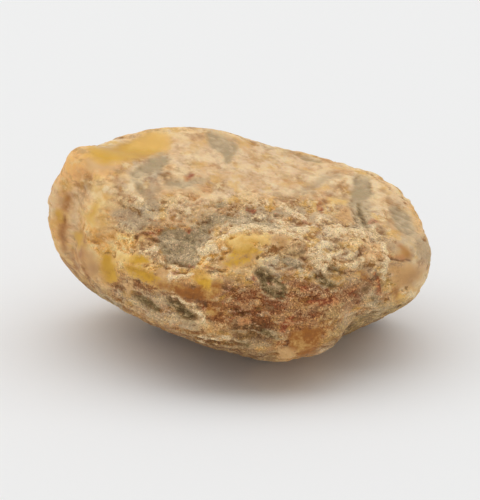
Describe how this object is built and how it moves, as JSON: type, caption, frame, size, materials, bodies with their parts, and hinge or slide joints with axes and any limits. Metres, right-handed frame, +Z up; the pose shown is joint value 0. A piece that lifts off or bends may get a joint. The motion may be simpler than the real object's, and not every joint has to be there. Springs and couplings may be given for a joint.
{
  "type": "raw amber piece",
  "caption": "Raw, unpolished lump of weathered amber, about the size of an egg: a rounded natural solid with worn faces, ridges and hollows, resting on a small flat.",
  "frame": {"origin": "under the middle of the nugget's box, on the surface it rests on", "axes": "+X along its length towards the lower, right-hand end, +Y from the viewer's side to the back, +Z up"},
  "size_m": [0.0648, 0.0492, 0.0346],
  "materials": {
    "weathered_amber": "opaque weathered amber: waxy honey and butterscotch windows between a sugary cream and rust crust and grey pits"
  },
  "bodies": {
    "root": {"amber_nugget": "weathered_amber"}
  },
  "joints": []
}
